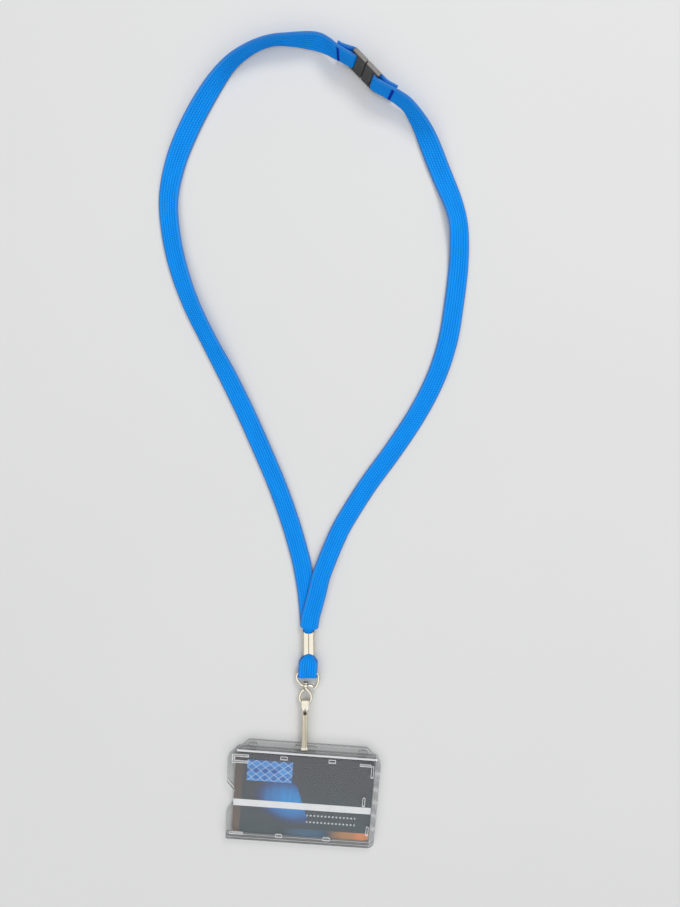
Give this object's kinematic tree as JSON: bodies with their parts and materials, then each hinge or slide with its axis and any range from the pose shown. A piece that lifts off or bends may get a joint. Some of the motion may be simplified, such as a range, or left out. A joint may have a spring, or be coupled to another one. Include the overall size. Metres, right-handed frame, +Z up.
{
  "type": "lanyard card holder",
  "caption": "Clear rigid card holder on a J hook, swivel and ring, hung from a blue webbing neck strap with a breakaway clasp.",
  "frame": {"origin": "on the surface that the object lies on, under the middle of its bounding box", "axes": "+Y from the card holder towards the clasp at the back of the neck, +X to the right of the card as it is read, +Z up, out of the holder's front"},
  "size_m": [0.1702, 0.4702, 0.014],
  "materials": {
    "webbing_blue": "woven, slight sheen",
    "thread_dark_blue": "stitched",
    "clasp_black": "satin",
    "nickel_plate": "nickel plated",
    "nickel_wire": "nickel plated",
    "spring_steel": "satin",
    "clear_plastic": "clear moulded",
    "card_print": "printed and laminated",
    "label_white": "plain"
  },
  "bodies": {
    "neck_strap": {"strap_left": "webbing_blue", "strap_right": "webbing_blue", "strap_ring_loop": "webbing_blue", "crimp_sleeve": "nickel_plate", "clasp_socket": "clasp_black", "bar_tack_left": "thread_dark_blue"},
    "clasp_plug": {"clasp_plug": "clasp_black", "bar_tack_right": "thread_dark_blue"},
    "ring": {"strap_ring": "nickel_wire"},
    "swivel": {"swivel_eye": "nickel_wire"},
    "hook": {"hook_body": "nickel_plate"},
    "gate": {"hook_gate": "spring_steel"},
    "holder": {"back_shell": "clear_plastic", "front_cover": "clear_plastic"},
    "card": {"card": "card_print", "label_strip": "label_white"}
  },
  "joints": [
    {"name": "clasp_release", "type": "slide", "parent": "neck_strap", "child": "clasp_plug", "axis": [0.7193, -0.6947, 0], "range_m": [0, 0.008], "deforming": ["strap_right"]},
    {"name": "ring_swing", "type": "hinge", "parent": "neck_strap", "child": "ring", "pos_m": [-0.00554, -0.12021, 0.00289], "axis": [0.9997, -0.0262, 0], "range_deg": [-60, 60]},
    {"name": "swivel_turn", "type": "hinge", "parent": "ring", "child": "swivel", "pos_m": [-0.00679, -0.12778, 0.00289], "axis": [0.0262, 0.9997, 0], "continuous": true},
    {"name": "hook_swing", "type": "hinge", "parent": "swivel", "child": "hook", "pos_m": [-0.00707, -0.13878, 0.00289], "axis": [0.9997, -0.0262, 0], "range_deg": [-60, 60]},
    {"name": "gate_press", "type": "hinge", "parent": "hook", "child": "gate", "pos_m": [-0.00726, -0.14577, 0.00367], "axis": [-0.9997, 0.0262, 0], "range_deg": [0, 6], "stiffness_Nm_per_rad": 0.05, "springref_deg": -1.72},
    {"name": "holder_swing", "type": "hinge", "parent": "hook", "child": "holder", "pos_m": [-0.0069, -0.16634, 0.00279], "axis": [0.9971, -0.0767, 0], "range_deg": [-60, 60]},
    {"name": "card_slide", "type": "slide", "parent": "holder", "child": "card", "axis": [-0.9971, 0.0767, 0], "range_m": [0, 0.086]}
  ]
}
